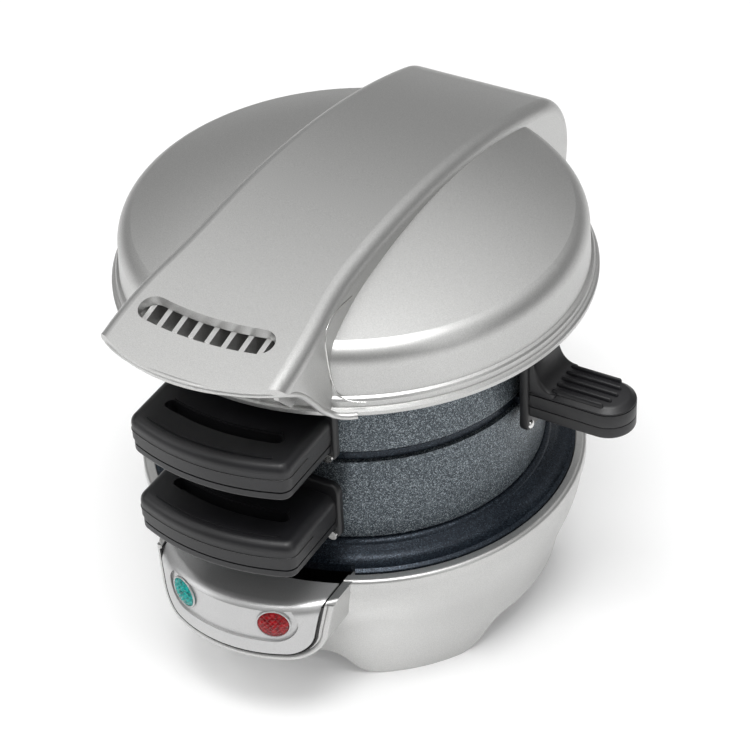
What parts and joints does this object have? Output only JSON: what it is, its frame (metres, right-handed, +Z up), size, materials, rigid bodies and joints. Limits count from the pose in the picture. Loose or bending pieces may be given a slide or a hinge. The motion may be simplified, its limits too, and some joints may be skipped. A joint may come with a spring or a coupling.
{
  "type": "breakfast sandwich maker",
  "caption": "Round breakfast sandwich maker: lobed base with indicator panel, stacked hinged muffin rings with a swing-out cooking plate, and a domed hinged cover with a bridge handle.",
  "frame": {"origin": "on the table, under the middle of the whole appliance's footprint", "axes": "+Z up; -Y is the front, where the handles and the indicator panel are; +X is the right-hand side, where the cooking plate's handle is; the rear hinge pin lies along X"},
  "size_m": [0.1564, 0.1796, 0.1405],
  "materials": {
    "silver_shell": "satin silver enamel",
    "silver_plastic": "silver moulded plastic, satin",
    "panel_silver": "silver moulded plastic, smooth",
    "black_plastic": "black moulded plastic, heat resistant, satin",
    "gasket_rubber": "black rubber",
    "foot_rubber": "dark rubber",
    "nonstick_ring": "dark grey speckled non-stick coating on aluminium",
    "nonstick_plate": "blue-black non-stick coating on aluminium",
    "green_jewel": "clear green faceted lens",
    "red_jewel": "clear red faceted lens",
    "lamp_glass": "small glass lamp",
    "bright_steel": "bright plated steel",
    "plain_steel": "plain zinc-plated steel",
    "element_steel": "heat-darkened sheathed element",
    "ceramic_body": "pale heat-proof body"
  },
  "bodies": {
    "base": {"base_bowl": "silver_plastic", "control_panel": "panel_silver", "panel_gasket": "gasket_rubber", "preheat_lens": "green_jewel", "power_lens": "red_jewel", "indicator_lamps": "lamp_glass", "lamp_holder": "black_plastic", "lower_heating_plate": "nonstick_plate", "lower_heater": "element_steel", "heat_shield": "plain_steel", "thermostat": "ceramic_body", "thermal_fuse": "plain_steel", "terminal_block": "ceramic_body", "bottom_cover": "black_plastic", "foot_pads": "foot_rubber", "bottom_screws": "plain_steel", "cord_inlet": "gasket_rubber", "hinge_bracket": "black_plastic", "bracket_screws": "plain_steel", "hinge_pin": "plain_steel", "hinge_pin_clips": "plain_steel"},
    "lower_ring_assembly": {"lower_ring": "nonstick_ring", "lower_handle_top": "black_plastic", "lower_handle_bottom": "black_plastic", "lower_handle_screws": "plain_steel", "lower_guard_rivets": "bright_steel"},
    "upper_ring_assembly": {"upper_ring": "nonstick_ring", "upper_handle_top": "black_plastic", "upper_handle_bottom": "black_plastic", "upper_handle_screws": "plain_steel", "upper_guard_rivets": "bright_steel", "plate_pivot": "bright_steel"},
    "plate_assembly": {"cooking_plate": "nonstick_plate", "plate_handle_top": "black_plastic", "plate_handle_bottom": "black_plastic", "plate_handle_screw": "bright_steel"},
    "cover_assembly": {"cover_shell": "silver_shell", "cover_bridge": "silver_plastic", "cover_screws": "plain_steel", "cover_grille": "silver_plastic", "cover_liner": "plain_steel", "upper_heating_plate": "nonstick_plate", "upper_heater": "element_steel", "plate_posts": "plain_steel"}
  },
  "joints": [
    {"name": "lower_ring_hinge", "type": "hinge", "parent": "base", "child": "lower_ring_assembly", "pos_m": [-0.00925, 0.07825, 0.066], "axis": [-1, 0, 0], "range_deg": [0, 25]},
    {"name": "upper_ring_hinge", "type": "hinge", "parent": "lower_ring_assembly", "child": "upper_ring_assembly", "pos_m": [-0.00925, 0.07825, 0.066], "axis": [-1, 0, 0], "range_deg": [0, 35]},
    {"name": "cover_hinge", "type": "hinge", "parent": "upper_ring_assembly", "child": "cover_assembly", "pos_m": [-0.00925, 0.07825, 0.066], "axis": [-1, 0, 0], "range_deg": [0, 55]},
    {"name": "plate_swing", "type": "hinge", "parent": "upper_ring_assembly", "child": "plate_assembly", "pos_m": [0.03317, 0.05281, 0.0805], "axis": [0, 0, 1], "range_deg": [0, 100]}
  ]
}
